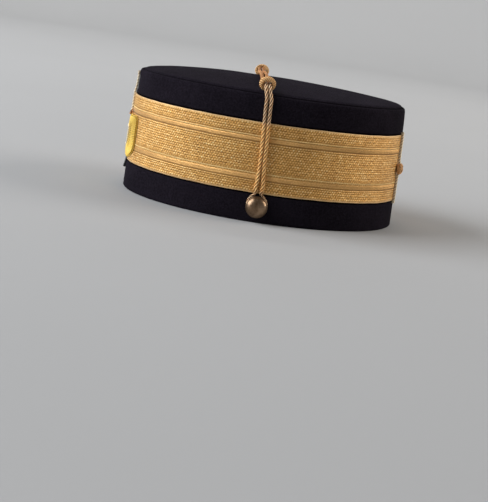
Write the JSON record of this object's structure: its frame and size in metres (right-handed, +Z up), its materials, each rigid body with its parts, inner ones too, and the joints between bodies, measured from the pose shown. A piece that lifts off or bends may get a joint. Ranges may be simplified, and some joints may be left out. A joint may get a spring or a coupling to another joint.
{
  "type": "masonic crown cap",
  "caption": "Stiff brimless oval cap of black cloth with a broad woven gold lace, a doubled gold cord with slider knots over the top, domed side buttons and a padded front badge.",
  "frame": {"origin": "middle of the footprint, on the surface that the hem rests on", "axes": "+Z up out of the top; the front of the cap, with the badge, faces -Y; +X is the wearer's left"},
  "size_m": [0.1864, 0.209, 0.1009],
  "materials": {
    "cloth": "fine black wool cloth, matt with a short nap",
    "lace": "woven gold metal-thread lace with plain stripes and lines",
    "cord": "twisted gold cord",
    "button": "satin antique brass",
    "felt": "black felt",
    "badge_thread": "yellow-gold satin stitch over padding"
  },
  "bodies": {
    "root": {"crown_side": "cloth", "crown_top": "cloth", "lace_band": "lace", "chin_cord": "cord", "slide_knot_left": "cord", "slide_knot_right": "cord", "button_left": "button", "button_right": "button", "front_cord": "cord", "front_badge_backing": "felt", "front_badge": "badge_thread", "back_cord": "cord", "back_knot": "cord"}
  },
  "joints": []
}
